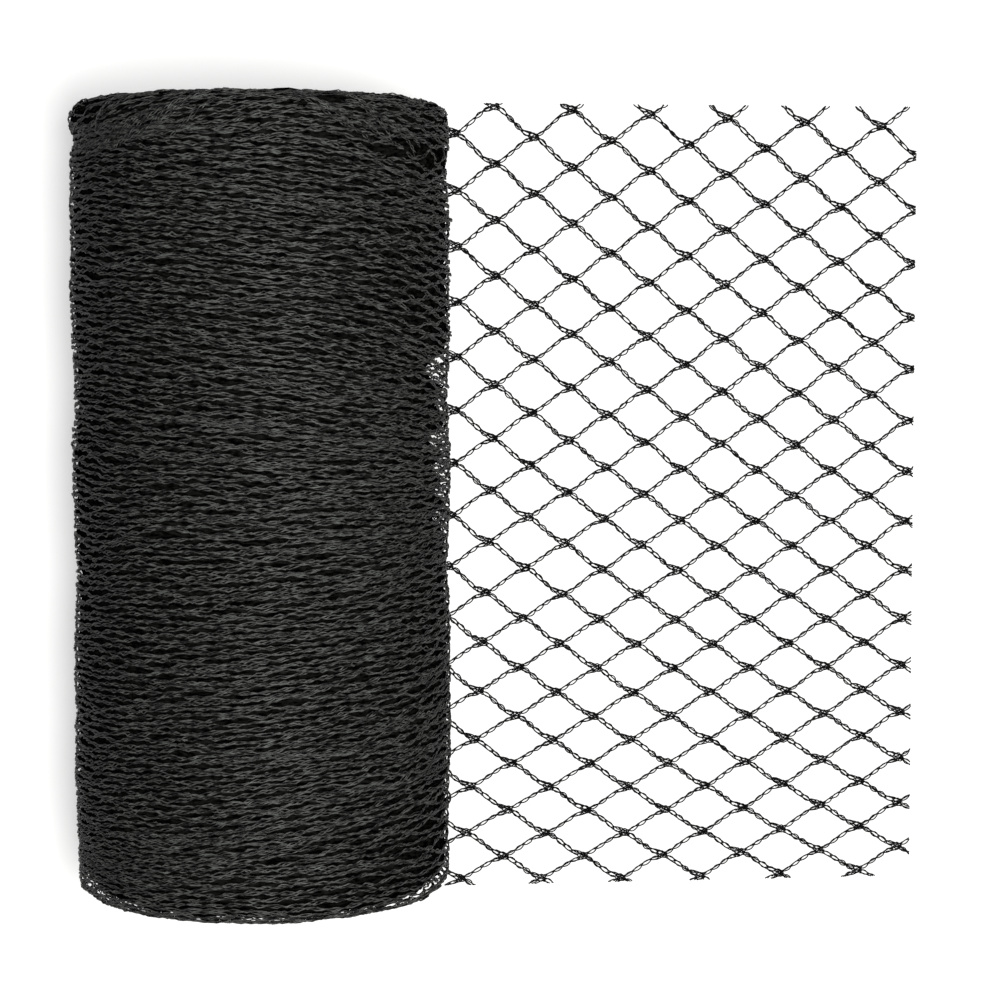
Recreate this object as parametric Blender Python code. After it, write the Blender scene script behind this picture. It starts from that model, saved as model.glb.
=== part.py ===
"""Knitted bird netting: a wound roll that lies on its side, with the loose end of the net unrolled beside it.

The roll's axis runs along Y, with its head at +Y and its foot at -Y, and it lies on a small flat. The loose end
leaves the outer turn under the roll, where the roll touches the surface, and lies flat towards +X.
Units are metres, +Z is up, and the part rests on Z = 0 with its origin under the middle of its box.
"""

import math
from collections import namedtuple

import bmesh
import bpy
from mathutils import Matrix, Vector

COLLECTION_NAME = "bird_netting"

# The wound roll
ROLL_RADIUS = 0.0790
ROLL_LENGTH = 0.3310
FLAT_DEPTH = 0.0018  # how far the roll's own weight flattens it
ROLL_SIDES = 36
BODY_STATIONS = 25
SHOULDER_STATIONS = 3
HEAD_SHOULDER = 0.0080  # corner radius of the folded edges at the head
FOOT_SHOULDER = 0.0090
OUT_OF_ROUND = 0.0004
OUT_OF_ROUND_TURN = 0.35  # where the roll stands out most, in radians from the top towards +X
SIDE_SHARE = 0.8  # share of the radius from which the side's unevenness fades in
PULL_IN = 0.11  # share by which bundles crowd to the roll's middle on the loose end's side
PULL_SPREAD = math.radians(62)

# Bundles of turns that stand out from the roll or sink into it, along the roll from its middle
Bundle = namedtuple("Bundle", "along half_width rise")
BUNDLES = (
    Bundle(along=0.1615, half_width=0.0070, rise=0.0006),
    Bundle(along=0.1490, half_width=0.0045, rise=-0.0016),
    Bundle(along=0.1260, half_width=0.0150, rise=0.0005),
    Bundle(along=0.0840, half_width=0.0190, rise=0.0007),
    Bundle(along=0.0450, half_width=0.0120, rise=-0.0007),
    Bundle(along=0.0130, half_width=0.0170, rise=0.0006),
    Bundle(along=-0.0330, half_width=0.0130, rise=-0.0008),
    Bundle(along=-0.0680, half_width=0.0180, rise=0.0005),
    Bundle(along=-0.1120, half_width=0.0160, rise=0.0007),
    Bundle(along=-0.1480, half_width=0.0110, rise=-0.0005),
)

# Folded edges on an end face: share of the face's radius, and how far they stand out of it
FaceRing = namedtuple("FaceRing", "share rise")
FACE_RINGS = (
    FaceRing(share=0.00, rise=-0.0030),
    FaceRing(share=0.24, rise=-0.0006),
    FaceRing(share=0.52, rise=0.0008),
    FaceRing(share=0.78, rise=0.0002),
)
FACE_SWIRL = 0.0006
FACE_SWIRL_ARMS = 3
FACE_SWIRL_TWIST = 9  # radians that an arm turns by from the face's middle to its edge

# The knitted mesh of the loose end
BAR_WIDTH = 0.0022
NET_THICKNESS = 0.0013
CELL_LENGTH = 0.0356  # node to node along the pull, towards the free end
HEAD_CELL_WIDTH = 0.0259  # node to node across the net at the head
CELL_WIDTH_LOSS = 0.00033  # how much each row narrows on its way to the foot
NET_WIDTH = 0.3553
FREE_EDGE_TO_NODES = -0.0016  # the first column of nodes starts beyond the edge, and comes in further down
HEAD_EDGE_TO_NODES = 0.0002
FREE_LEAN = 0.0125  # drift of the columns back to the roll at the foot, where the net ends
ROLL_LEAN = -0.0123
FREE_CURL = -0.0048  # the same drift's part that grows faster towards the foot
ROLL_CURL = 0.0290
ROW_TILT = 0.0096  # fall of the head's rows towards the free end
ROW_ARCH = 0.0019  # how far the foot's rows bow towards the foot

# The loose end's place
LAY_LENGTH = 0.2210  # from under the roll's side to the free edge
TUCKED_LENGTH = 0.0525  # from the roll's side in under the roll, near to where it touches the surface
FOOT_OFFSET = 0.0055  # how far the net's middle lies beyond the roll's, towards the foot

NET_COLOUR = (0.030, 0.032, 0.031, 1.0)
ROLL_COLOUR = (0.024, 0.026, 0.025, 1.0)

ROLL_AXIS_HEIGHT = ROLL_RADIUS - FLAT_DEPTH
NET_START = ROLL_RADIUS - TUCKED_LENGTH
NET_END = ROLL_RADIUS + LAY_LENGTH
GRID_CELLS = 28  # cells along each side of the turned grid that the net is cut from
GRID_MIDDLE = (8, 17)  # the node in that grid's middle, in half cells from the free edge and from the head edge
MERGE_DISTANCE = 1e-5


def smooth_step(x):
    """0 below 0, 1 above 1, and smooth between."""
    x = min(1.0, max(0.0, x))
    return x * x * (3 - 2 * x)


def pull_at(turn):
    """How strongly the turns are drawn together, by the angle from the top towards +X."""
    away = math.remainder(turn - math.pi / 2, math.tau)
    return math.exp(-((away / PULL_SPREAD) ** 2))


def wound_rise(along, turn):
    """How far the outer turns stand out from a true cylinder."""
    rise = OUT_OF_ROUND * math.cos(2 * (turn - OUT_OF_ROUND_TURN))
    for bundle in BUNDLES:
        middle = bundle.along * (1 - PULL_IN * pull_at(turn))
        rise += bundle.rise * math.exp(-(((along - middle) / bundle.half_width) ** 2))
    return rise


def face_stations(end, radius):
    """(along, radius) of an end face's rings, from the middle outwards; end is 1 at the head and -1 at the foot."""
    return [(end * (ROLL_LENGTH / 2 + ring.rise), ring.share * radius) for ring in FACE_RINGS]


def shoulder_stations(end, corner):
    """(along, radius) round the corner between an end face and the side."""
    stations = []
    for step in range(SHOULDER_STATIONS + 1):
        angle = math.pi / 2 * step / SHOULDER_STATIONS
        along = ROLL_LENGTH / 2 - corner + corner * math.cos(angle)
        stations.append((end * along, ROLL_RADIUS - corner + corner * math.sin(angle)))
    return stations


def roll_profile():
    """(along, radius) from the middle of the head, round the side, to the middle of the foot."""
    head = face_stations(1, ROLL_RADIUS - HEAD_SHOULDER) + shoulder_stations(1, HEAD_SHOULDER)
    foot = face_stations(-1, ROLL_RADIUS - FOOT_SHOULDER) + shoulder_stations(-1, FOOT_SHOULDER)
    top, bottom = head[-1][0], foot[-1][0]
    body = []
    for step in range(1, BODY_STATIONS):
        body.append((top + (bottom - top) * step / BODY_STATIONS, ROLL_RADIUS))
    return head + body + foot[::-1]


def shape_wound_surface(point):
    """Moves a point of the true cylinder to the wound roll's uneven surface, with its axis at the origin."""
    turn = math.atan2(point.x, point.z)
    radius = math.hypot(point.x, point.z)
    share = radius / ROLL_RADIUS
    side = smooth_step((share - SIDE_SHARE) / (1 - SIDE_SHARE))
    shaped = radius + side * wound_rise(point.y, turn)
    arms = math.sin(FACE_SWIRL_ARMS * turn + FACE_SWIRL_TWIST * share)
    swirl = FACE_SWIRL * arms * smooth_step(share / FACE_RINGS[1].share) * (1 - side)
    along = point.y + math.copysign(swirl, point.y)
    x, z = shaped * math.sin(turn), shaped * math.cos(turn)
    return Vector((x, along, max(z, -ROLL_AXIS_HEIGHT)))


def make_roll():
    """The wound net: a turned profile, uneven as wound, with a flat where it lies."""
    mesh = bmesh.new()
    ring = [mesh.verts.new((radius, along, 0)) for along, radius in roll_profile()]
    edges = [mesh.edges.new(pair) for pair in zip(ring, ring[1:])]
    bmesh.ops.spin(
        mesh, geom=ring + edges, cent=(0, 0, 0), axis=(0, 1, 0), angle=math.tau, steps=ROLL_SIDES, use_merge=True
    )
    bmesh.ops.remove_doubles(mesh, verts=mesh.verts, dist=MERGE_DISTANCE)
    for vertex in mesh.verts:
        vertex.co = shape_wound_surface(vertex.co) + Vector((0, 0, ROLL_AXIS_HEIGHT))
    bmesh.ops.recalc_face_normals(mesh, faces=mesh.faces)
    return object_from(mesh, "net_roll", material("net_wound", ROLL_COLOUR, 0.55))


def node_place(column, row):
    """(x, y) of a node from the roll's middle, counted in half cells from the free edge and from the head edge."""
    rows_down = row / 2
    down = rows_down * HEAD_CELL_WIDTH - rows_down * rows_down * CELL_WIDTH_LOSS / 2
    share_down = (HEAD_EDGE_TO_NODES + down) / NET_WIDTH
    share_out = 1 - column * CELL_LENGTH / 2 / LAY_LENGTH
    lean = ROLL_LEAN + (FREE_LEAN - ROLL_LEAN) * share_out
    curl = ROLL_CURL + (FREE_CURL - ROLL_CURL) * share_out
    back = lean * share_down + curl * share_down * abs(share_down)
    fall = ROW_TILT * share_out * (1 - share_down) + ROW_ARCH * math.sin(math.pi * share_out) * share_down
    x = NET_END - FREE_EDGE_TO_NODES - column * CELL_LENGTH / 2 - back
    y = NET_WIDTH / 2 - FOOT_OFFSET - HEAD_EDGE_TO_NODES - down - fall
    return x, y


def lay_out_diamonds(mesh):
    """A square grid turned by 45 degrees, with its crossings moved to the net's nodes."""
    bmesh.ops.create_grid(mesh, x_segments=GRID_CELLS, y_segments=GRID_CELLS, size=GRID_CELLS / 2)
    turned = Matrix.Rotation(math.pi / 4, 3, "Z") @ Matrix.Scale(math.sqrt(2), 3)
    for vertex in mesh.verts:
        half_cells = turned @ vertex.co
        column = round(half_cells.x) + GRID_MIDDLE[0]
        row = round(half_cells.y) + GRID_MIDDLE[1]
        vertex.co = Vector((*node_place(column, row), 0))


def loose_pieces(mesh):
    """The mesh's vertices, parted into the pieces that hang together."""
    pieces, seen = [], set()
    for start in mesh.verts:
        if start in seen:
            continue
        piece, waiting = [], [start]
        seen.add(start)
        while waiting:
            vertex = waiting.pop()
            piece.append(vertex)
            beside = {edge.other_vert(vertex) for edge in vertex.link_edges} - seen
            seen.update(beside)
            waiting.extend(beside)
        pieces.append(piece)
    return pieces


def cut_to_size(mesh):
    """Cuts the net straight along its four edges and drops the scraps that hang on nothing."""
    sides = (
        ((NET_START, 0, 0), (-1, 0, 0)),
        ((NET_END, 0, 0), (1, 0, 0)),
        ((0, -NET_WIDTH / 2 - FOOT_OFFSET, 0), (0, -1, 0)),
        ((0, NET_WIDTH / 2 - FOOT_OFFSET, 0), (0, 1, 0)),
    )
    for point, outward in sides:
        everything = mesh.verts[:] + mesh.edges[:] + mesh.faces[:]
        bmesh.ops.bisect_plane(
            mesh, geom=everything, dist=MERGE_DISTANCE, plane_co=point, plane_no=outward, clear_outer=True
        )
    scraps = [vertex for piece in sorted(loose_pieces(mesh), key=len)[:-1] for vertex in piece]
    bmesh.ops.delete(mesh, geom=scraps, context="VERTS")


def make_loose_end():
    """The loose end: one sheet of open diamonds with straight cut edges, flat on the surface."""
    mesh = bmesh.new()
    lay_out_diamonds(mesh)
    widened = bmesh.ops.bevel(
        mesh, geom=mesh.edges, offset=BAR_WIDTH / 2, offset_type="OFFSET", segments=1, affect="EDGES"
    )
    bars = set(widened["faces"])
    bmesh.ops.delete(mesh, geom=[face for face in mesh.faces if face not in bars], context="FACES")
    cut_to_size(mesh)
    grown = bmesh.ops.extrude_face_region(mesh, geom=mesh.faces[:], use_keep_orig=True)
    for item in grown["geom"]:
        if isinstance(item, bmesh.types.BMVert):
            item.co.z = NET_THICKNESS
    bmesh.ops.recalc_face_normals(mesh, faces=mesh.faces)
    return object_from(mesh, "net_end", material("net_mesh", NET_COLOUR, 0.45))


def material(name, colour, roughness):
    """A plain plastic yarn finish."""
    made = bpy.data.materials.new(name)
    made.use_nodes = True
    shader = made.node_tree.nodes["Principled BSDF"]
    shader.inputs["Base Color"].default_value = colour
    shader.inputs["Roughness"].default_value = roughness
    shader.inputs["Metallic"].default_value = 0.0
    made.diffuse_color = colour
    return made


def object_from(mesh, name, finish):
    """Turns a finished bmesh into a smooth-shaded object of the collection."""
    data = bpy.data.meshes.new(name)
    mesh.to_mesh(data)
    mesh.free()
    data.materials.append(finish)
    data.shade_smooth()
    data.set_sharp_from_angle(angle=math.radians(40))
    made = bpy.data.objects.new(name, data)
    bpy.data.collections[COLLECTION_NAME].objects.link(made)
    return made


def centre_over_origin(objects):
    """Moves the meshes so that the origin is under the middle of the whole part's box."""
    points = [vertex.co for item in objects for vertex in item.data.vertices]
    low = [min(point[axis] for point in points) for axis in (0, 1)]
    high = [max(point[axis] for point in points) for axis in (0, 1)]
    shift = Vector((-(low[0] + high[0]) / 2, -(low[1] + high[1]) / 2, 0))
    for item in objects:
        item.data.transform(Matrix.Translation(shift))


def main():
    for item in list(bpy.data.objects):
        bpy.data.objects.remove(item)
    collection = bpy.data.collections.new(COLLECTION_NAME)
    bpy.context.scene.collection.children.link(collection)
    centre_over_origin([make_roll(), make_loose_end()])


main()
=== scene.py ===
"""Looks of the knitted bird netting: every cord of the wound roll and every loop of its loose end.

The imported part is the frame. The roll's cords run over its uneven wound surface, and the loose end's
chain stitch lies where its solid does. Both are worked out from the sizes below and the places of the
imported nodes.
"""

import math
from collections import namedtuple

import bpy
import numpy as np
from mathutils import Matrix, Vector


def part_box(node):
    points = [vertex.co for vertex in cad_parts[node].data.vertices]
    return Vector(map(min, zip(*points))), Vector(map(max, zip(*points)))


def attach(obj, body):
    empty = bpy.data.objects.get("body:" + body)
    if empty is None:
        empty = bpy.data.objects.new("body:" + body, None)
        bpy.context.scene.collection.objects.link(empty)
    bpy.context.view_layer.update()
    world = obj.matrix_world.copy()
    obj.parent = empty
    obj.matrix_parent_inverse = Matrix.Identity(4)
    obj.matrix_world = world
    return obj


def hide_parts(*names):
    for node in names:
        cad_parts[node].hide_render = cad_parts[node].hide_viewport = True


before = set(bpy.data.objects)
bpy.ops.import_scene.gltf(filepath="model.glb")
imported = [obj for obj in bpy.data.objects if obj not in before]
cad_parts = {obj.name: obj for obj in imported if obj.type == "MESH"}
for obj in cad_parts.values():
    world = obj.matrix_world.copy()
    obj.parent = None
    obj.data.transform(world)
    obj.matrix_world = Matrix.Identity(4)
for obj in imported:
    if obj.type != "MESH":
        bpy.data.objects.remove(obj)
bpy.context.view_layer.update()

TAU = math.tau
SEED = 11

# The wound roll, as its solid is built
ROLL_RADIUS = 0.0790
ROLL_LENGTH = 0.3310
FLAT_DEPTH = 0.0018
HEAD_SHOULDER = 0.0080
FOOT_SHOULDER = 0.0090
OUT_OF_ROUND = 0.0004
OUT_OF_ROUND_TURN = 0.35
PULL_IN = 0.11
PULL_SPREAD = math.radians(62)
Bundle = namedtuple("Bundle", "along half_width rise")
BUNDLES = (
    Bundle(along=0.1615, half_width=0.0070, rise=0.0006),
    Bundle(along=0.1490, half_width=0.0045, rise=-0.0016),
    Bundle(along=0.1260, half_width=0.0150, rise=0.0005),
    Bundle(along=0.0840, half_width=0.0190, rise=0.0007),
    Bundle(along=0.0450, half_width=0.0120, rise=-0.0007),
    Bundle(along=0.0130, half_width=0.0170, rise=0.0006),
    Bundle(along=-0.0330, half_width=0.0130, rise=-0.0008),
    Bundle(along=-0.0680, half_width=0.0180, rise=0.0005),
    Bundle(along=-0.1120, half_width=0.0160, rise=0.0007),
    Bundle(along=-0.1480, half_width=0.0110, rise=-0.0005),
)
FaceRing = namedtuple("FaceRing", "share rise")
FACE_RINGS = (
    FaceRing(share=0.00, rise=-0.0030),
    FaceRing(share=0.24, rise=-0.0006),
    FaceRing(share=0.52, rise=0.0008),
    FaceRing(share=0.78, rise=0.0002),
    FaceRing(share=1.00, rise=0.0000),
)

# The loose end, as its solid is built
CELL_LENGTH = 0.0356
HEAD_CELL_WIDTH = 0.0259
CELL_WIDTH_LOSS = 0.00033
NET_WIDTH = 0.3553
FREE_EDGE_TO_NODES = -0.0016
HEAD_EDGE_TO_NODES = 0.0002
FREE_LEAN = 0.0125
ROLL_LEAN = -0.0123
FREE_CURL = -0.0048
ROLL_CURL = 0.0290
ROW_TILT = 0.0096
ROW_ARCH = 0.0019
LAY_LENGTH = 0.2210
FOOT_OFFSET = 0.0055

# The wound yarn
LOOP = 0.0041  # one chain stitch
BAR = 0.0138  # node to node in the wound, closed mesh
CORD_PITCH = 0.00236
FILAMENT_RADIUS = 0.00031
CORD_SWING = 0.00046
CORD_RISE = 0.00034
STRAND_APART = 0.00036
CORD_SPREAD = 0.00034  # how far a cord swings towards its neighbours, which it meets by turns
SINK = -0.0006  # how far the cords' middle lines lie below the solid's surface
CORD_STEP = 0.00186
UNDERSIDE_STEP = 0.0038
UNDERSIDE = math.radians(118)  # from the top, where the finer steps end
MOST_TRIANGLES = 180_000  # past this the next piece of wound cords begins

NET_LOW, NET_HIGH = (Vector(corner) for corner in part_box("net_end"))
AXIS_X = NET_HIGH.x - LAY_LENGTH - ROLL_RADIUS
AXIS_Z = ROLL_RADIUS - FLAT_DEPTH
MIDDLE_Y = NET_LOW.y + NET_WIDTH / 2 + FOOT_OFFSET


def smooth_step(x):
    x = np.clip(x, 0.0, 1.0)
    return x * x * (3 - 2 * x)


def bell(x, middle, width):
    """1 at the middle, falling smoothly to about a third one width away."""
    return np.exp(-(((x - middle) / width) ** 2))


def unit(vectors):
    return vectors / np.maximum(np.linalg.norm(vectors, axis=-1, keepdims=True), 1e-12)


def along_line(points, closed):
    """Unit tangents of a polyline."""
    if closed:
        return unit(np.roll(points, -1, axis=0) - np.roll(points, 1, axis=0))
    return unit(np.gradient(points, axis=0))


class Yarns:
    """Thin round yarns gathered into one mesh."""

    SIDES = 3

    def __init__(self):
        self.points, self.quads, self.caps, self.count = [], [], [], 0

    def add(self, line, normals, radius, closed=False):
        """A tube along a line; normals point away from what it lies on."""
        forward = along_line(line, closed)
        side = unit(np.cross(forward, normals))
        up = np.cross(side, forward)
        number, sides = len(line), self.SIDES
        angles = TAU * (np.arange(sides) + 0.25) / sides
        spread = np.cos(angles)[None, :, None] * side[:, None]
        spread = spread + np.sin(angles)[None, :, None] * up[:, None]
        self.points.append((line[:, None] + np.reshape(radius, (-1, 1, 1)) * spread).reshape(-1, 3))
        corner = np.arange(sides)
        next_corner = (corner + 1) % sides
        ring = np.arange(number if closed else number - 1)[:, None]
        next_ring = (ring + 1) % number
        here = (ring * sides + corner).ravel()
        beside = (ring * sides + next_corner).ravel()
        ahead = (next_ring * sides + corner).ravel()
        across = (next_ring * sides + next_corner).ravel()
        self.quads.append(np.stack([here, beside, across, ahead], axis=1)[:, ::-1] + self.count)
        if not closed:
            last = corner + (number - 1) * sides
            self.caps.append(corner + self.count)
            self.caps.append(last[::-1] + self.count)
        self.count += number * sides

    def add_pair(self, line, normals, phase, swing, rise, radius):
        """Two filaments that swing from side to side along a line, over and under each other."""
        side = unit(np.cross(normals, along_line(line, False)))
        for start in (0, math.pi):
            angle = (phase + start)[:, None]
            middle = line + side * swing * np.sin(angle) + normals * rise * np.cos(angle)
            self.add(middle, normals, radius)

    def triangles(self):
        return 2 * sum(len(quads) for quads in self.quads) + len(self.caps) * (self.SIDES - 2)

    def build(self, name, material):
        points = np.concatenate(self.points)
        quads = np.concatenate(self.quads)
        caps = np.array(self.caps, int).reshape(-1, self.SIDES)
        data = bpy.data.meshes.new(name)
        data.vertices.add(len(points))
        data.vertices.foreach_set("co", points.astype(np.float32).ravel())
        corners = np.concatenate([quads.ravel(), caps.ravel()]).astype(np.int32)
        cap_starts = len(quads) * 4 + np.arange(len(caps)) * self.SIDES
        starts = np.concatenate([np.arange(len(quads)) * 4, cap_starts])
        data.loops.add(len(corners))
        data.loops.foreach_set("vertex_index", corners)
        data.polygons.add(len(starts))
        data.polygons.foreach_set("loop_start", starts.astype(np.int32))
        data.update(calc_edges=True)
        data.shade_smooth()
        data.materials.append(material)
        return shown(name, data)


def shown(name, data):
    made = bpy.data.objects.new(name, data)
    bpy.context.scene.collection.objects.link(made)
    return made


# The wound roll's surface


def wound_rise(along, turn):
    """How far the outer turns stand out from a true cylinder."""
    away = (turn - math.pi / 2 + math.pi) % TAU - math.pi
    pull = bell(away, 0, PULL_SPREAD)
    rise = OUT_OF_ROUND * np.cos(2 * (turn - OUT_OF_ROUND_TURN))
    for bundle in BUNDLES:
        middle = bundle.along * (1 - PULL_IN * pull)
        rise = rise + bundle.rise * bell(along, middle, bundle.half_width)
    return rise


FACE_STEPS = 120
SMOOTHED_OVER = 8  # of those steps, each way
SHOULDER_STEPS = 24
PROFILE_STEPS = 2000


def face_line(corner):
    """(height over the face's plane, radius) from the middle of an end face to its rounded edge."""
    share = np.linspace(0, 1, FACE_STEPS)
    rise = np.interp(share, [ring.share for ring in FACE_RINGS], [ring.rise for ring in FACE_RINGS])
    window = np.hanning(2 * SMOOTHED_OVER + 1)
    rise = np.convolve(np.pad(rise, SMOOTHED_OVER, mode="edge"), window / window.sum(), mode="valid")
    return rise, share * (ROLL_RADIUS - corner)


def shoulder_line(corner):
    angle = np.linspace(0, math.pi / 2, SHOULDER_STEPS)[1:]
    return -corner + corner * np.cos(angle), ROLL_RADIUS - corner + corner * np.sin(angle)


def roll_profile():
    """Along, radius and outward normal at even steps, from the head's middle to the foot's."""
    half = ROLL_LENGTH / 2
    lines = []
    for end, corner in ((1, HEAD_SHOULDER), (-1, FOOT_SHOULDER)):
        face, shoulder = face_line(corner), shoulder_line(corner)
        along = end * (half + np.concatenate([face[0], shoulder[0]]))
        lines.append((along, np.concatenate([face[1], shoulder[1]])))
    along = np.concatenate([lines[0][0], lines[1][0][::-1]])
    radius = np.concatenate([lines[0][1], lines[1][1][::-1]])
    length = np.concatenate([[0], np.cumsum(np.hypot(np.diff(along), np.diff(radius)))])
    even = np.linspace(0, length[-1], PROFILE_STEPS)
    along, radius = np.interp(even, length, along), np.interp(even, length, radius)
    slope = unit(np.stack([np.gradient(along), np.gradient(radius)], axis=1))
    return even, along, radius, slope[:, 1], -slope[:, 0]


PROFILE_AT, PROFILE_ALONG, PROFILE_RADIUS, NORMAL_ALONG, NORMAL_OUT = roll_profile()
PROFILE_LENGTH = PROFILE_AT[-1]


SIDE_FROM = 0.8  # share of the radius from which the side's unevenness begins


def roll_surface(at, turn, lift):
    """Points and normals over the roll; at runs from the head's middle over the side to the foot's."""
    along, radius = np.interp(at, PROFILE_AT, PROFILE_ALONG), np.interp(at, PROFILE_AT, PROFILE_RADIUS)
    out, up = np.interp(at, PROFILE_AT, NORMAL_OUT), np.interp(at, PROFILE_AT, NORMAL_ALONG)
    size = np.hypot(out, up)
    out, up = out / size, up / size
    on_side = smooth_step((radius / ROLL_RADIUS - SIDE_FROM) / (1 - SIDE_FROM))
    reach = radius + on_side * wound_rise(along, turn) + lift * out
    sine, cosine = np.sin(turn), np.cos(turn)
    places = [AXIS_X + reach * sine, MIDDLE_Y + along + lift * up, AXIS_Z + reach * cosine]
    points = np.stack(places, axis=-1)
    points[..., 2] = np.maximum(points[..., 2], FILAMENT_RADIUS + 0.5 * np.maximum(lift, 0))
    normals = np.stack([out * sine, up, out * cosine], axis=-1)
    return points, unit(normals)


# How the cords lie: angles are from the top, and positive to the loose end's side, which is the right
NECK = 0.1465  # from the roll's middle to the line where the head's folded edges stand out from the side
LIP_DROP = 0.0135  # how far those folds hang down over the sides
LIP_DROP_LESS_RIGHT = 0.45
LEFT_LEAN = 0.0072
RIGHT_LEAN = 0.0050
FOOT_LEAN = 0.0085
DRAWN_FOOT = 0.0020
DRAWN_EVEN = 0.0030
DRAWN_MOST = 0.0080
DRAWN_AT = 0.0600
DRAWN_OVER = 0.0450
NECK_OPENS = 0.0050
NECK_CLOSES = 0.0018
NECK_OVER = 0.0100
LEVEL_OVER = 0.0450  # from the roll's middle, where the cords lie level
FADE_FROM = 0.1880
FADE_OVER = 0.0450


def bump_at(turn, middle, width):
    """1 at an angle round the roll, falling smoothly away from it; both angles are in degrees."""
    away = (turn - math.radians(middle) + math.pi) % TAU - math.pi
    return bell(away, 0, math.radians(width))


def from_middle(at):
    """Distance from the roll's middle towards its head."""
    return PROFILE_LENGTH / 2 - at


def head_shift(towards_head, turn, right):
    """How far the head half's cords are shifted towards the foot, short of the folds."""
    drawn = DRAWN_EVEN + DRAWN_MOST * bell(towards_head, DRAWN_AT, DRAWN_OVER)
    lean = np.where(np.sin(turn) < 0, LEFT_LEAN, RIGHT_LEAN)
    opening = NECK_OPENS * bump_at(turn, 55, 20) - NECK_CLOSES * bump_at(turn, 20, 15)
    return lean * np.sin(turn) + drawn * right + opening * bell(towards_head, NECK, NECK_OVER)


def foot_shift(towards_head, turn, right):
    near_foot = smooth_step((-towards_head - 0.125) / 0.040)
    return -(FOOT_LEAN * np.sin(turn) + DRAWN_FOOT * right) * (1 - near_foot)


def fanned(at, turn):
    """Where a cord runs, with its lean and the turns drawn together at the right side counted."""
    towards_head = from_middle(at)
    right = bump_at(turn, 95, 58)
    upper = head_shift(towards_head, turn, right)
    lower = foot_shift(towards_head, turn, right)
    on_lip = smooth_step((towards_head - NECK - 0.0005) / 0.005)
    lip = LIP_DROP * np.sin(turn) ** 2 * (1 - LIP_DROP_LESS_RIGHT * smooth_step(np.sin(turn) / 0.6))
    level = np.tanh(np.abs(towards_head) / LEVEL_OVER)
    shift = np.where(towards_head > 0, upper * (1 - on_lip), lower) * level + lip * on_lip
    return at + shift * (1 - smooth_step((np.abs(towards_head) - FADE_FROM) / FADE_OVER))


Wave = namedtuple("Wave", "size cycles rate phase")  # cycles round the roll, and cycles a metre along it
Ripple = namedtuple("Ripple", "size cycles")


def random_waves(random, ripple, rates):
    """Waves with random sizes and phases, one for each number of cycles."""
    waves = []
    for cycles in ripple.cycles:
        size = ripple.size * random.normal() / math.sqrt(len(ripple.cycles))
        waves.append(Wave(size, cycles, random.uniform(*rates), random.uniform(0, TAU)))
    return waves


def field(at, turn, waves):
    """A smooth unevenness that neighbouring cords share."""
    total = 0
    for wave in waves:
        total = total + wave.size * np.cos(wave.cycles * turn + TAU * wave.rate * at + wave.phase)
    return total


def rippled(random, turn, ripple):
    """A smooth random unevenness of one cord."""
    total = 0
    for cycles in ripple.cycles:
        total = total + random.normal() * np.cos(cycles * turn + random.uniform(0, TAU))
    return ripple.size * total / math.sqrt(len(ripple.cycles))


def turns_of(radius):
    """Angles round the roll, closer together where they're seen than on the underside."""
    fine = max(8, int(2 * UNDERSIDE * radius / CORD_STEP))
    coarse = max(4, int((TAU - 2 * UNDERSIDE) * radius / UNDERSIDE_STEP))
    seen = np.linspace(-UNDERSIDE, UNDERSIDE, fine, endpoint=False)
    unseen = np.linspace(UNDERSIDE, TAU - UNDERSIDE, coarse, endpoint=False)
    return np.concatenate([seen, unseen])


# Where the outer turns stand off the right side and light comes through, from the roll's middle
Gap = namedtuple("Gap", "along half_width size")
GAPS = (
    Gap(along=0.0540, half_width=0.0050, size=1.00),
    Gap(along=0.0400, half_width=0.0030, size=0.45),
    Gap(along=0.0240, half_width=0.0040, size=0.85),
    Gap(along=0.0130, half_width=0.0035, size=0.75),
    Gap(along=0.0030, half_width=0.0030, size=0.60),
    Gap(along=-0.0080, half_width=0.0035, size=0.60),
)


def gap_at(at, turn):
    """1 in the middle of a wide gap of the outer turns, and 0 away from the gaps."""
    towards_head = from_middle(at)
    open_here = sum(gap.size * bell(towards_head, gap.along, gap.half_width) for gap in GAPS)
    return open_here * bump_at(turn, 84, 19)


# What varies along a cord, and what neighbouring cords share
SHARED_PATH = Ripple(0.0010, (1, 2, 3, 5, 7))
SHARED_PATH_RATES = (3, 14)
SHARED_HEIGHT = Ripple(0.00025, (2, 4, 7, 11, 15))
SHARED_HEIGHT_RATES = (30, 90)
SPREAD = Ripple(0.00026, (1, 3, 4, 6))
SPREAD_IN_GAPS = 0.5
SPREAD_RIGHT = 0.9
MEETING = Ripple(1.0, (1, 2, 3, 5, 8))
PATH = Ripple(0.00036, (2, 5, 9, 13, 21))
HEIGHT = Ripple(0.00026, (2, 5, 8, 17, 23, 31))
LOOP_PHASE = Ripple(0.8, (2, 3, 5))
STRAND_PHASE = Ripple(1.1, (9, 14, 23, 37))
SWING = Ripple(0.00012, (3, 7, 12))
SWING_LESS_IN_GAPS = 0.25
UNEVEN_ACROSS = 0.00010
UNEVEN_HEIGHT = 0.00008
STRAND_THICKNESS = (0.82, 1.15)
STRANDS_ON_SIDE = 3
STRANDS_ON_FACE = 2
FACE_SHARE = 0.9  # of the roll's radius
LOWEST_LINE = FILAMENT_RADIUS + 0.0001
TUCK = 0.0010  # how far cords that come down past the neck go under the others
LEVEL_RADIUS = 0.020  # nearer an end face's middle than this the cords wander less


Cord = namedtuple("Cord", "turn points normals phase swing strands")


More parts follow.
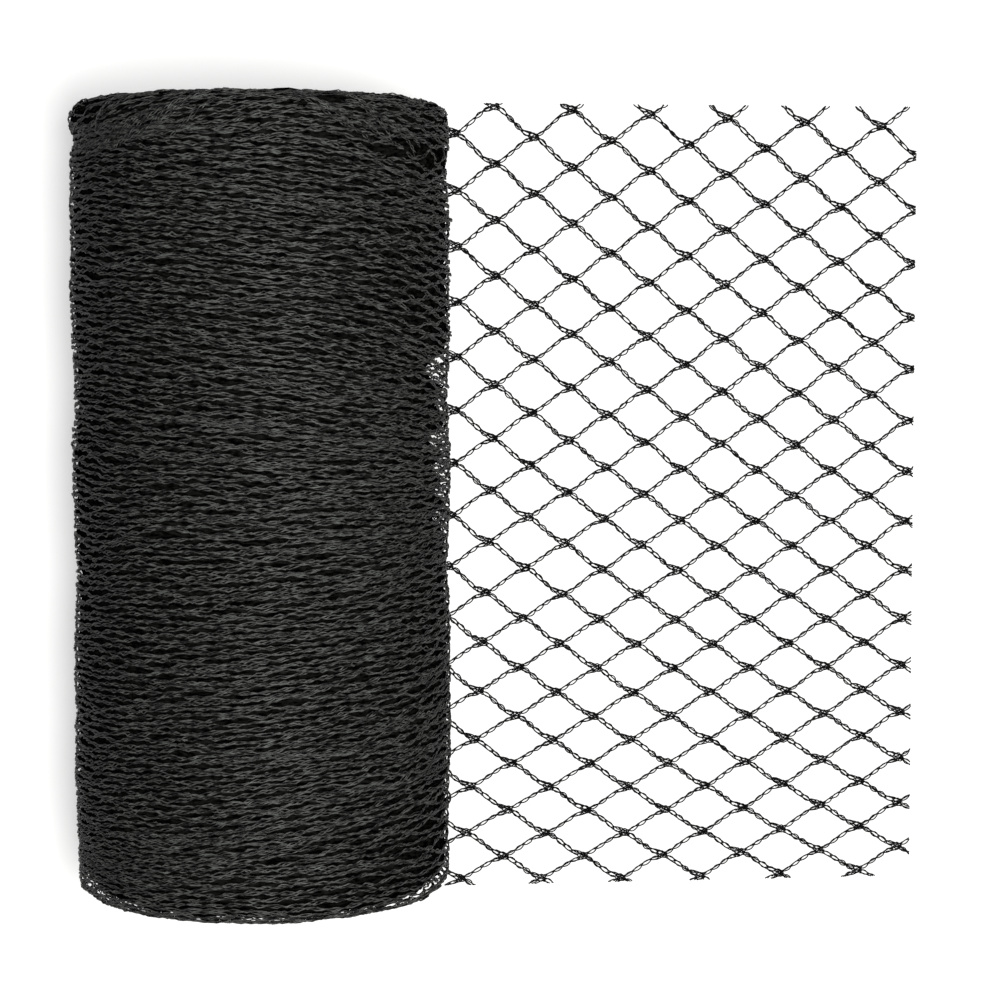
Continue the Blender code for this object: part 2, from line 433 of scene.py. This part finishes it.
def cord_path(random, number, shared, heights):
    """One outer cord: its middle line's points and normals, and its loops' phase and swing at each."""
    home = number * CORD_PITCH
    radius = float(np.interp(home, PROFILE_AT, PROFILE_RADIUS))
    turn = turns_of(radius)
    bars = max(1, round(TAU * radius / BAR / 2))
    loops = max(2, round(TAU * radius / LOOP / 2))
    gap = gap_at(home, turn)
    spread = CORD_SPREAD + rippled(random, turn, SPREAD)
    spread = spread * (1 + SPREAD_IN_GAPS * gap + SPREAD_RIGHT * bump_at(turn, 62, 34))
    meet = bars * turn + math.pi * number + rippled(random, turn, MEETING)
    wander = rippled(random, turn, PATH) + field(home, turn, shared)
    near_middle = min(1.0, radius / LEVEL_RADIUS)
    at = fanned(home + near_middle * (spread * np.cos(meet) + wander), turn)
    lift = SINK + rippled(random, turn, HEIGHT) + field(home, turn, heights)
    if from_middle(home) > NECK:
        past_neck = at - (PROFILE_LENGTH / 2 - NECK)
        lift = lift - TUCK * smooth_step((past_neck + 0.001) / 0.003) * (turn < math.pi / 2 + 1)
    phase = loops * turn + random.uniform(0, TAU) + rippled(random, turn, LOOP_PHASE)
    swing = (CORD_SWING + rippled(random, turn, SWING)) * (1 - SWING_LESS_IN_GAPS * gap)
    points, normals = roll_surface(at, turn, lift)
    strands = STRANDS_ON_FACE if radius < FACE_SHARE * ROLL_RADIUS else STRANDS_ON_SIDE
    return Cord(turn, points, normals, phase, swing, strands)


def add_strands(yarns, random, cord):
    """The looped strands of one cord, side by side and each in its own rhythm."""
    side = unit(np.cross(cord.normals, along_line(cord.points, True)))
    for strand in range(cord.strands):
        angle = cord.phase + TAU * strand / cord.strands + rippled(random, cord.turn, STRAND_PHASE)
        offset = STRAND_APART * (strand - (cord.strands - 1) / 2)
        across = offset + cord.swing * np.sin(angle) + random.normal(0, UNEVEN_ACROSS, len(angle))
        deep = CORD_RISE * np.cos(angle) + random.normal(0, UNEVEN_HEIGHT, len(angle))
        line = cord.points + side * across[:, None] + cord.normals * deep[:, None]
        line[:, 2] = np.maximum(line[:, 2], LOWEST_LINE)
        yarns.add(line, cord.normals, FILAMENT_RADIUS * random.uniform(*STRAND_THICKNESS), True)


def wound_cords(material):
    """The outer turns: cords that meet their neighbours by turns, as in a closed mesh."""
    random = np.random.RandomState(SEED)
    shared = random_waves(random, SHARED_PATH, SHARED_PATH_RATES)
    heights = random_waves(random, SHARED_HEIGHT, SHARED_HEIGHT_RATES)
    number = int(PROFILE_LENGTH / CORD_PITCH)
    yarns, made = Yarns(), []
    for cord in range(1, number):
        add_strands(yarns, random, cord_path(random, cord, shared, heights))
        if yarns.triangles() > MOST_TRIANGLES or cord == number - 1:
            made.append(yarns.build(f"wound_cords_{len(made) + 1}", material))
            yarns = Yarns()
    return made


STRAY_SWING = 0.0006
CROSSING_CORDS = 40
CROSSING_MIDDLES = (-30, 75)  # degrees from the top
CROSSING_HALF_SPANS = (14, 34)
CROSSING_PLACES = (-0.150, 0.140)  # from the roll's middle towards its head
CROSSING_LEAN = 0.0018
CROSSING_LEAN_MORE = 0.0045
CROSSING_BEND = 0.0005
CROSSING_HEIGHT = 0.0008
STRAY_ENDS_DIP = 0.0018
HEAD_FOLDS = 26
FOLD_STARTS = (5, 46)  # degrees from the top, either way
FOLD_SPANS = (14, 26)
FOLD_PLACES = (0.154, 0.170)
FOLD_FALLS = (0.006, 0.016)
FOLD_FALLS_MORE = 0.004
FOLD_HEIGHT = 0.0007
FOLD_STEPS = 20


def add_stray(yarns, random, at, turn, height):
    """A short cord over the others."""
    points, normals = roll_surface(at, turn, height)
    length = np.concatenate([[0], np.cumsum(np.linalg.norm(np.diff(points, axis=0), axis=1))])
    phase = math.pi * length / LOOP + random.uniform(0, TAU)
    yarns.add_pair(points, normals, phase, STRAY_SWING, CORD_RISE, FILAMENT_RADIUS)


def add_crossing_cord(yarns, random):
    """A cord of the last turns that runs a little across the others."""
    middle, span = random.uniform(*CROSSING_MIDDLES), random.uniform(*CROSSING_HALF_SPANS)
    home = random.uniform(*CROSSING_PLACES)
    turn = np.radians(np.linspace(middle - span, middle + span, int(span * 1.9)))
    share = np.linspace(-1, 1, len(turn))
    lean = random.normal() * CROSSING_LEAN + CROSSING_LEAN_MORE * bell(home, 0.045, 0.022)
    at = fanned(PROFILE_LENGTH / 2 - home + lean * share + CROSSING_BEND * np.sin(3 * share), turn)
    add_stray(yarns, random, at, turn, CROSSING_HEIGHT - STRAY_ENDS_DIP * share**4)


def add_head_fold(yarns, random):
    """A cord of the folds that come down over the head's edge."""
    start = random.uniform(*FOLD_STARTS) * random.choice((-1, 1))
    end = start + math.copysign(random.uniform(*FOLD_SPANS), start)
    turn = np.radians(np.linspace(start, end, FOLD_STEPS))
    share = np.linspace(0, 1, FOLD_STEPS)
    head = random.uniform(*FOLD_PLACES)
    fall = random.uniform(*FOLD_FALLS) * share + FOLD_FALLS_MORE * np.sin(turn) ** 2
    at = PROFILE_LENGTH / 2 - head + fall
    add_stray(yarns, random, at, turn, FOLD_HEIGHT - STRAY_ENDS_DIP * np.abs(2 * share - 1) ** 3)


def stray_cords(material):
    random = np.random.RandomState(SEED + 1)
    yarns = Yarns()
    for _ in range(CROSSING_CORDS):
        add_crossing_cord(yarns, random)
    for _ in range(HEAD_FOLDS):
        add_head_fold(yarns, random)
    return yarns.build("stray_cords", material)


CORE_ROWS = 190
CORE_COLUMNS = 90
CORE_LIFT = -0.0021
CORE_LOWEST = 0.0012
CORE_RIDGES = Ripple(0.0009, (3, 6, 9, 13, 17))
CORE_RIDGE_RATES = (60, 160)
CORE_SUNK_IN_GAPS = 0.0120
CORE_SUNK_AT_FOOT = 0.0040
FOOT_DIP_PLACE = -0.1640
FOOT_DIP_OVER = 0.0075
CORE_RAISED_AT_HEAD = 0.0013
HEAD_RISE_PLACE = 0.1620
HEAD_RISE_OVER = 0.0120


def closed_grid(rows, columns):
    """Faces of a grid that closes round on itself, with one more point as a pole past each end."""
    index = np.arange(rows * columns).reshape(rows, columns)
    beside = np.roll(index, -1, axis=1)
    faces = np.stack([index[:-1], index[1:], beside[1:], beside[:-1]], axis=-1).reshape(-1, 4).tolist()
    for column in range(columns):
        faces.append((rows * columns, index[0, column], beside[0, column]))
        faces.append((rows * columns + 1, beside[-1, column], index[-1, column]))
    return faces


def wound_core(material):
    """The deeper turns, sunk under the outer turns' gaps; their near-black material is painted shade,
    seen dark between the outer cords.
    """
    random = np.random.RandomState(SEED + 2)
    ridges = random_waves(random, CORE_RIDGES, CORE_RIDGE_RATES)
    at = np.linspace(0, PROFILE_LENGTH, CORE_ROWS + 2)[1:-1][:, None]
    turn = (np.arange(CORE_COLUMNS) * TAU / CORE_COLUMNS)[None, :]
    lift = CORE_LIFT + field(at, turn, ridges) - CORE_SUNK_IN_GAPS * gap_at(at, turn)
    lift = lift - CORE_SUNK_AT_FOOT * bell(from_middle(at), FOOT_DIP_PLACE, FOOT_DIP_OVER)
    lift = lift + CORE_RAISED_AT_HEAD * bell(from_middle(at), HEAD_RISE_PLACE, HEAD_RISE_OVER)
    points, _ = roll_surface(at + 0 * turn, turn + 0 * at, lift)
    points[..., 2] = np.maximum(points[..., 2], CORE_LOWEST)
    poles, _ = roll_surface(np.array([0, PROFILE_LENGTH]), np.zeros(2), np.full(2, CORE_LIFT))
    data = bpy.data.meshes.new("wound_core")
    places = points.reshape(-1, 3).tolist() + poles.tolist()
    data.from_pydata(places, [], closed_grid(CORE_ROWS, CORE_COLUMNS))
    data.shade_smooth()
    data.materials.append(material)
    return shown("wound_core", data)


# The loose end


def node_place(column, row):
    """(x, y) of a node from the roll's middle, counted in half cells from the free and head edges."""
    rows_down = row / 2
    down = rows_down * HEAD_CELL_WIDTH - rows_down * rows_down * CELL_WIDTH_LOSS / 2
    share_down = (HEAD_EDGE_TO_NODES + down) / NET_WIDTH
    share_out = 1 - column * CELL_LENGTH / 2 / LAY_LENGTH
    lean = ROLL_LEAN + (FREE_LEAN - ROLL_LEAN) * share_out
    curl = ROLL_CURL + (FREE_CURL - ROLL_CURL) * share_out
    back = lean * share_down + curl * share_down * abs(share_down)
    fall = ROW_TILT * share_out * (1 - share_down) + ROW_ARCH * math.sin(math.pi * share_out) * share_down
    x = ROLL_RADIUS + LAY_LENGTH - FREE_EDGE_TO_NODES - column * CELL_LENGTH / 2 - back
    y = NET_WIDTH / 2 - FOOT_OFFSET - HEAD_EDGE_TO_NODES - down - fall
    return x, y


COLUMNS = 17  # half cells along the loose end
WALES = range(-2, 34)  # knitted chains, from the head's edge to the foot's
NET_FILAMENT = 0.00031
NET_SWING = 0.00088
NET_SWING_RIPPLE = Ripple(0.13, (2.1, 4.3, 6.1))
RISING_SWING = 0.82
FALLING_SWING = 1.12
NET_RISE = 0.00028
NET_SWAY = Ripple(0.00020, (0.9, 2.3, 3.7))
NET_UNEVEN = 0.00004
NET_STEPS = 21  # points for each bar
LOOPS_A_BAR = 5
SMOOTHINGS = 4
EyePoint = namedtuple("EyePoint", "ahead apart")  # from a node's middle, where two chains join
EYE = (
    EyePoint(ahead=-0.0040, apart=0.00160),
    EyePoint(ahead=-0.0022, apart=0.00125),
    EyePoint(ahead=-0.0004, apart=0.00090),
    EyePoint(ahead=0.0014, apart=0.00050),
    EyePoint(ahead=0.0026, apart=0.00085),
)
Inlay = namedtuple("Inlay", "offset sway rise")  # a yarn that wanders beside its chain
INLAY = Inlay(offset=0.00046, sway=0.00024, rise=0.0001)
SECOND_INLAY = Inlay(offset=-0.00052, sway=0.00034, rise=0.0003)


def add_flat(yarns, line, radius):
    """A yarn of the loose end from (x, y, z) points, cut off straight at the net's edges."""
    low = np.array([NET_LOW.x, NET_LOW.y])
    high = np.array([NET_HIGH.x, NET_HIGH.y])
    placed = line + np.array([AXIS_X, MIDDLE_Y, 0])
    placed[:, 2] = np.maximum(placed[:, 2], radius)
    within = np.all((placed[:, :2] >= low) & (placed[:, :2] <= high), axis=1)
    edges = np.flatnonzero(np.diff(np.concatenate([[0], within.astype(int), [0]])))
    for start, end in zip(edges[::2], edges[1::2]):
        run = placed[start:end]
        if start > 0:
            run = np.vstack([on_cut(placed[start - 1], placed[start], low, high), run])
        if end < len(placed):
            run = np.vstack([run, on_cut(placed[end], placed[end - 1], low, high)])
        if len(run) > 2 and not clips_corner(run, low, high):
            yarns.add(run, np.tile([0.0, 0.0, 1.0], (len(run), 1)), radius)


CORNER_LENGTH = 0.010
ON_EDGE = 0.0002


def clips_corner(run, low, high):
    """Whether a short length of yarn only crosses a corner of the net, where nothing holds it."""
    ends = run[[0, -1], :2]
    at_edge = (np.abs(ends - low) < ON_EDGE) | (np.abs(ends - high) < ON_EDGE)
    return at_edge.any(axis=0).all() and np.linalg.norm(ends[1] - ends[0]) < CORNER_LENGTH


def on_cut(outer, inner, low, high):
    """Where the step from a point outside the cut to one inside crosses it."""
    share = 0.0
    for axis in (0, 1):
        span = inner[axis] - outer[axis]
        if outer[axis] < low[axis]:
            share = max(share, (low[axis] - outer[axis]) / span)
        if outer[axis] > high[axis]:
            share = max(share, (high[axis] - outer[axis]) / span)
    return outer + (inner - outer) * min(share, 0.98)


def wale_line(wale):
    """The middle line of one knitted chain, which joins the chains above and below it by turns."""
    corners, bars = [], []
    for column in range(COLUMNS, -3, -1):
        row = wale if (column + wale) % 2 == 1 else wale + 1
        x, y = node_place(column, row)
        side = -1 if row == wale else 1
        for point in EYE:
            corners.append((x + point.ahead, y + side * point.apart))
            bars.append(COLUMNS - column + point.ahead / (CELL_LENGTH / 2))
    corners, bars = np.array(corners), np.array(bars)
    even = np.arange(bars[0], bars[-1], 1 / NET_STEPS)
    line = np.stack([np.interp(even, bars, corners[:, axis]) for axis in (0, 1)], axis=1)
    smooth = np.array([0.25, 0.5, 0.25])
    for _ in range(SMOOTHINGS):
        inner = np.stack([np.convolve(line[:, axis], smooth, mode="valid") for axis in (0, 1)], axis=1)
        line = np.vstack([line[:1], inner, line[-1:]])
    return line, even


def add_chain(chains, ties, wale, random):
    """One chain: its looped filaments, the yarn inlaid in it, and a second one on its falling bars."""
    line, bars = wale_line(wale)
    forward = along_line(line, False)
    side = np.stack([-forward[:, 1], forward[:, 0]], axis=1)
    rising = forward[:, 1] > 0
    phase = math.pi * LOOPS_A_BAR * (bars + 0.30) + 0.4 * np.sin(1.7 * bars + random.uniform(0, TAU))
    swing = NET_SWING * (1 + rippled(random, bars, NET_SWING_RIPPLE))
    swing = swing * np.where(rising, RISING_SWING, FALLING_SWING)
    sway = rippled(random, bars, NET_SWAY)
    height = 0.00055 + 0.00015 * np.sin(0.8 * bars + random.uniform(0, TAU))

    def filament(offset, rise):
        flat = line + side * (offset + sway)[:, None] + random.normal(0, NET_UNEVEN, line.shape)
        return np.column_stack([flat, height + rise])

    def inlaid(inlay):
        wander = inlay.sway * np.sin(phase / 2 + random.uniform(0, TAU))
        return filament(inlay.offset + wander, inlay.rise)

    wave = np.sign(np.sin(phase)) * np.abs(np.sin(phase)) ** 0.8
    add_flat(chains, filament(swing * wave, NET_RISE * np.cos(phase)), NET_FILAMENT)
    add_flat(chains, filament(-swing * wave, -NET_RISE * np.cos(phase)), NET_FILAMENT)
    add_flat(chains, inlaid(INLAY), NET_FILAMENT)
    second = inlaid(SECOND_INLAY)
    falls = np.flatnonzero(np.diff(np.concatenate([[0], (~rising).astype(int), [0]])))
    for start, end in zip(falls[::2], falls[1::2]):
        add_flat(ties, second[start:end:2], NET_FILAMENT)


def beyond_corner(place):
    """Whether a node is past the head's edge where the net goes under the roll and nothing holds it."""
    x, y = AXIS_X + place[0], MIDDLE_Y + place[1]
    return x < NET_LOW.x + CORNER_LENGTH and y > NET_HIGH.y


def loose_end(material):
    """The loose end's chains, and the yarns that tie its nodes."""
    random = np.random.RandomState(SEED + 3)
    chains, ties = Yarns(), Yarns()
    for wale in WALES:
        add_chain(chains, ties, wale, random)
    for column in range(COLUMNS, -2, -1):
        for row in range(WALES.start + 1, WALES.stop + 1):
            place = node_place(column, row)
            if (column + row) % 2 == 1 and not beyond_corner(place):
                tie_node(ties, place, random)
    return chains.build("loose_end", material), ties.build("loose_end_ties", material)


# The yarns of one node, by (x, y, z) in millimetres from its middle: the arcs that close it above and
# below, the threads that cross inside it, and the wraps of its knot
UPPER_ARC = (
    (-5.4, 2.6, 0.5),
    (-4.2, 2.75, 0.7),
    (-2.8, 2.55, 0.8),
    (-1.3, 2.0, 0.9),
    (0.2, 1.2, 1.0),
    (1.5, 0.3, 1.1),
)
LOWER_ARC = (
    (-5.0, -2.3, 0.4),
    (-3.8, -2.35, 0.6),
    (-2.3, -2.1, 0.8),
    (-0.8, -1.6, 0.9),
    (0.5, -0.8, 1.0),
    (1.6, -0.1, 1.0),
)
TIE_YARNS = (
    UPPER_ARC,
    LOWER_ARC,
    ((-3.9, 1.2, 0.5), (-2.9, 0.5, 0.7), (-1.8, -0.5, 0.8), (-0.4, -1.1, 0.6)),
    ((-3.4, -1.3, 0.4), (-2.3, -0.7, 0.9), (-1.1, 0.3, 1.0), (0.6, 0.9, 0.8)),
    ((0.8, 1.0, 0.7), (1.3, 0.5, 1.1), (1.7, -0.3, 1.1), (1.6, -1.0, 0.6)),
    ((2.2, 0.9, 0.6), (1.7, 0.4, 1.2), (1.2, -0.4, 1.2), (0.9, -0.9, 0.6)),
    ((0.3, 0.1, 0.9), (1.2, 0.1, 1.25), (2.4, -0.1, 1.1)),
)
TIE_UNEVEN = (0.00012, 0.00012, 0.000036)
TIE_THICKNESS = (0.9, 1.15)


def tie_node(yarns, place, random):
    for points in TIE_YARNS:
        line = np.array(points) / 1000
        line = line + random.normal(0, 1, line.shape) * np.array(TIE_UNEVEN)
        placed = line + np.array([place[0], place[1], 0])
        add_flat(yarns, placed, NET_FILAMENT * random.uniform(*TIE_THICKNESS))


# Materials


Look = namedtuple("Look", "name dark light roughness tone_scale specular")
# The wound yarn's lighter flecks are partly the yarn's own uneven tone and partly painted glints,
# standing in for highlights off its filaments.
WOUND_LOOK = Look("wound_yarn", (0.002, 0.002, 0.002, 1), (0.0288, 0.0302, 0.0284, 1), 0.42, 900, 0.05)
MESH_LOOK = Look("mesh_yarn", (0.0004, 0.0004, 0.0004, 1), (0.0015, 0.0015, 0.0015, 1), 0.50, 300, 0.03)
# The deep turns are near-black, far darker than the wound yarn: painted shade in the gaps between the
# outer cords.
DEEP_SHADE_LOOK = Look("deep_turns_painted_shade", (0.0001, 0.0001, 0.0001, 1), (0.0024, 0.0024, 0.0022, 1), 0.75, 900, 0.0)

TONE_AND_PAINTED_LIGHT_STRETCH = (0.3, 1.0, 0.3)  # the tones, painted glints and painted shade streaks run on a little way round the roll
TONE_AND_PAINTED_LIGHT_DETAIL = 4
TONE_AND_PAINTED_LIGHT_ROUGHNESS = 0.6
DARK_UP_TO = 0.42
LIGHT_FROM = 0.70
FIBRE_SCALE = 3600
FIBRE_DETAIL = 2
FIBRE_STRENGTH = 0.45
FIBRE_DEPTH = 0.00012
SMOOTHER = 0.10
ROUGHER = 0.12


def add_noise(nodes, scale, detail):
    noise = nodes.new("ShaderNodeTexNoise")
    noise.inputs["Scale"].default_value = scale
    noise.inputs["Detail"].default_value = detail
    return noise


def paint_tones_and_painted_light(nodes, links, place, shader, look):
    """Darker and lighter stretches of yarn: the yarn's own uneven tone, with the lighter flecks on the
    wound yarn also standing in as painted glints; on the deep turns the whole ramp is painted shade.
    """
    stretch = nodes.new("ShaderNodeMapping")
    stretch.inputs["Scale"].default_value = TONE_AND_PAINTED_LIGHT_STRETCH
    tone_and_painted_light = add_noise(nodes, look.tone_scale, TONE_AND_PAINTED_LIGHT_DETAIL)
    tone_and_painted_light.inputs["Roughness"].default_value = TONE_AND_PAINTED_LIGHT_ROUGHNESS
    ramp = nodes.new("ShaderNodeValToRGB")
    darkest, lightest = ramp.color_ramp.elements
    darkest.position = DARK_UP_TO
    darkest.color = look.dark
    lightest.position = LIGHT_FROM
    lightest.color = look.light
    links.new(place.outputs["Object"], stretch.inputs["Vector"])
    links.new(stretch.outputs["Vector"], tone_and_painted_light.inputs["Vector"])
    links.new(tone_and_painted_light.outputs["Fac"], ramp.inputs["Fac"])
    links.new(ramp.outputs["Color"], shader.inputs["Base Color"])


def rib_surface(nodes, links, place, shader, look):
    """Fine fibres that break up the gloss."""
    fibre = add_noise(nodes, FIBRE_SCALE, FIBRE_DETAIL)
    gloss = nodes.new("ShaderNodeMapRange")
    gloss.inputs["To Min"].default_value = look.roughness - SMOOTHER
    gloss.inputs["To Max"].default_value = look.roughness + ROUGHER
    bump = nodes.new("ShaderNodeBump")
    bump.inputs["Strength"].default_value = FIBRE_STRENGTH
    bump.inputs["Distance"].default_value = FIBRE_DEPTH
    links.new(place.outputs["Object"], fibre.inputs["Vector"])
    links.new(fibre.outputs["Fac"], gloss.inputs["Value"])
    links.new(gloss.outputs["Result"], shader.inputs["Roughness"])
    links.new(fibre.outputs["Fac"], bump.inputs["Height"])
    links.new(bump.outputs["Normal"], shader.inputs["Normal"])


def plastic_yarn(look):
    """Black polyethylene yarn: a satin plastic of uneven tone, finely ribbed; its tone ramp carries
    painted glints on the wound yarn and painted shade on the deep turns.
    """
    made = bpy.data.materials.new(look.name)
    made.use_nodes = True
    nodes, links = made.node_tree.nodes, made.node_tree.links
    shader = nodes["Principled BSDF"]
    shader.inputs["Specular IOR Level"].default_value = look.specular
    place = nodes.new("ShaderNodeTexCoord")
    paint_tones_and_painted_light(nodes, links, place, shader, look)
    rib_surface(nodes, links, place, shader, look)
    return made


# The room

FLOOR_REACH = 14.0
FLOOR_SHADE = (0.14, 0.14, 0.14, 1)
FLOOR_ROUGHNESS = 0.9
FLOOR_GLOW = 0.48
SKY_STRENGTH = 0.50
WHITE = (1, 1, 1, 1)
Lamp = namedtuple("Lamp", "name place size power colour")
LAMPS = (
    Lamp(name="key", place=(-0.01, 0.02, 1.55), size=0.35, power=97, colour=(1, 1, 0.99)),
    Lamp(name="fill", place=(0.42, -0.30, 1.50), size=0.90, power=28, colour=(1, 0.97, 0.93)),
)
CAMERA_PLACE = (AXIS_X - 0.0162, MIDDLE_Y + 0.0763, AXIS_Z + 1.1303)
CAMERA_TURN = (-0.0682, -0.1030, 0)
LENS = 96.4
SENSOR = 36


def make_floor():
    reach = FLOOR_REACH
    corners = [(-reach, -reach, 0), (reach, -reach, 0), (reach, reach, 0), (-reach, reach, 0)]
    data = bpy.data.meshes.new("floor")
    data.from_pydata(corners, [], [(0, 1, 2, 3)])
    paint = bpy.data.materials.new("pale_floor")
    paint.use_nodes = True
    shader = paint.node_tree.nodes["Principled BSDF"]
    shader.inputs["Base Color"].default_value = FLOOR_SHADE
    shader.inputs["Roughness"].default_value = FLOOR_ROUGHNESS
    shader.inputs["Specular IOR Level"].default_value = 0.0
    shader.inputs["Emission Color"].default_value = WHITE
    shader.inputs["Emission Strength"].default_value = FLOOR_GLOW
    data.materials.append(paint)
    shown("floor", data)


def make_sky():
    world = bpy.data.worlds.new("soft_sky")
    world.use_nodes = True
    sky = world.node_tree.nodes["Background"]
    sky.inputs["Color"].default_value = WHITE
    sky.inputs["Strength"].default_value = SKY_STRENGTH
    bpy.context.scene.world = world


def make_lamp(lamp):
    """A square soft light aimed at the middle of the part's base."""
    data = bpy.data.lights.new(lamp.name, "AREA")
    data.size = lamp.size
    data.energy = lamp.power
    data.color = lamp.colour
    light = shown(lamp.name, data)
    light.location = lamp.place
    light.rotation_euler = (-Vector(lamp.place)).to_track_quat("-Z", "Y").to_euler()


def make_camera():
    data = bpy.data.cameras.new("camera")
    data.lens = LENS
    data.sensor_width = SENSOR
    camera = shown("camera", data)
    camera.location = CAMERA_PLACE
    camera.rotation_euler = CAMERA_TURN
    bpy.context.scene.camera = camera


def make_room():
    make_floor()
    make_sky()
    for lamp in LAMPS:
        make_lamp(lamp)
    make_camera()
    bpy.context.scene.view_settings.view_transform = "Standard"


def main():
    make_room()
    wound_yarn = plastic_yarn(WOUND_LOOK)
    mesh_yarn = plastic_yarn(MESH_LOOK)
    core = wound_core(plastic_yarn(DEEP_SHADE_LOOK))
    cords = wound_cords(wound_yarn)
    strays = stray_cords(wound_yarn)
    for piece in [core, strays] + cords:
        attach(piece, "root")
        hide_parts("net_roll")
    chains, ties = loose_end(mesh_yarn)
    for piece in (chains, ties):
        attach(piece, "root")
        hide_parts("net_end")


main()
